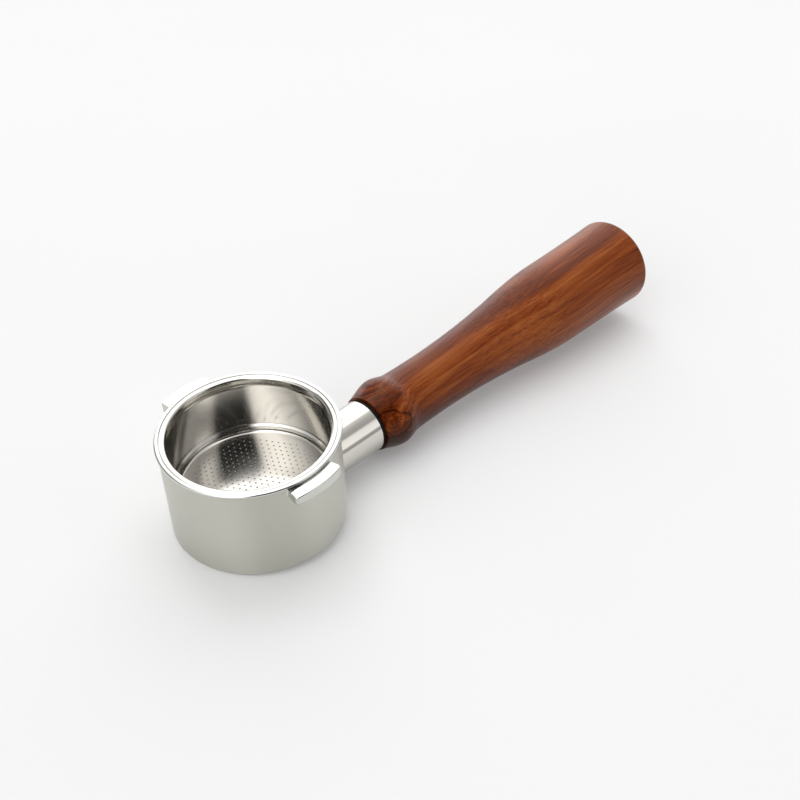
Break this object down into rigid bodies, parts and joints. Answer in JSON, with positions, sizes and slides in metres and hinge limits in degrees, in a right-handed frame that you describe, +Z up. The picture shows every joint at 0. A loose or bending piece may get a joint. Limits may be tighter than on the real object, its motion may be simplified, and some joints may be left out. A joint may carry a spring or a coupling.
{
  "type": "portafilter",
  "caption": "bottomless espresso portafilter: open steel cup ring with two locking lugs, lift-out perforated filter basket, and a turned wooden handle on a steel neck",
  "frame": {"origin": "centre of the bottom face of the bounding box, on the surface the portafilter rests on", "axes": "+Z up from the resting surface; the handle points to +X; the lugs lie on Y; the cup's own axis leans 5.39 degrees from +Z towards -X, as the part rests on the far edge of its lower rim and on the handle's collar"},
  "size_m": [0.224, 0.0692, 0.0409],
  "materials": {
    "cup_steel": "polished stainless steel, slightly satin on the wall",
    "spring_steel": "drawn spring wire",
    "basket_steel": "deep-drawn stainless sheet with fine circular brushing",
    "neck_chrome": "polished",
    "washer_rubber": "matt black",
    "stud_steel": "turned",
    "insert_brass": "turned",
    "handle_wood": "oiled reddish-brown hardwood, satin"
  },
  "bodies": {
    "holder": {"cup_ring": "cup_steel", "lug_front": "cup_steel", "lug_rear": "cup_steel", "retaining_spring": "spring_steel", "neck": "neck_chrome", "neck_washer": "washer_rubber", "threaded_stud": "stud_steel", "threaded_insert": "insert_brass", "wooden_handle": "handle_wood"},
    "basket": {"filter_basket": "basket_steel"}
  },
  "joints": [
    {"name": "basket_lift", "type": "slide", "parent": "holder", "child": "basket", "axis": [-0.094, 0, 0.9956], "range_m": [0, 0.035]}
  ]
}
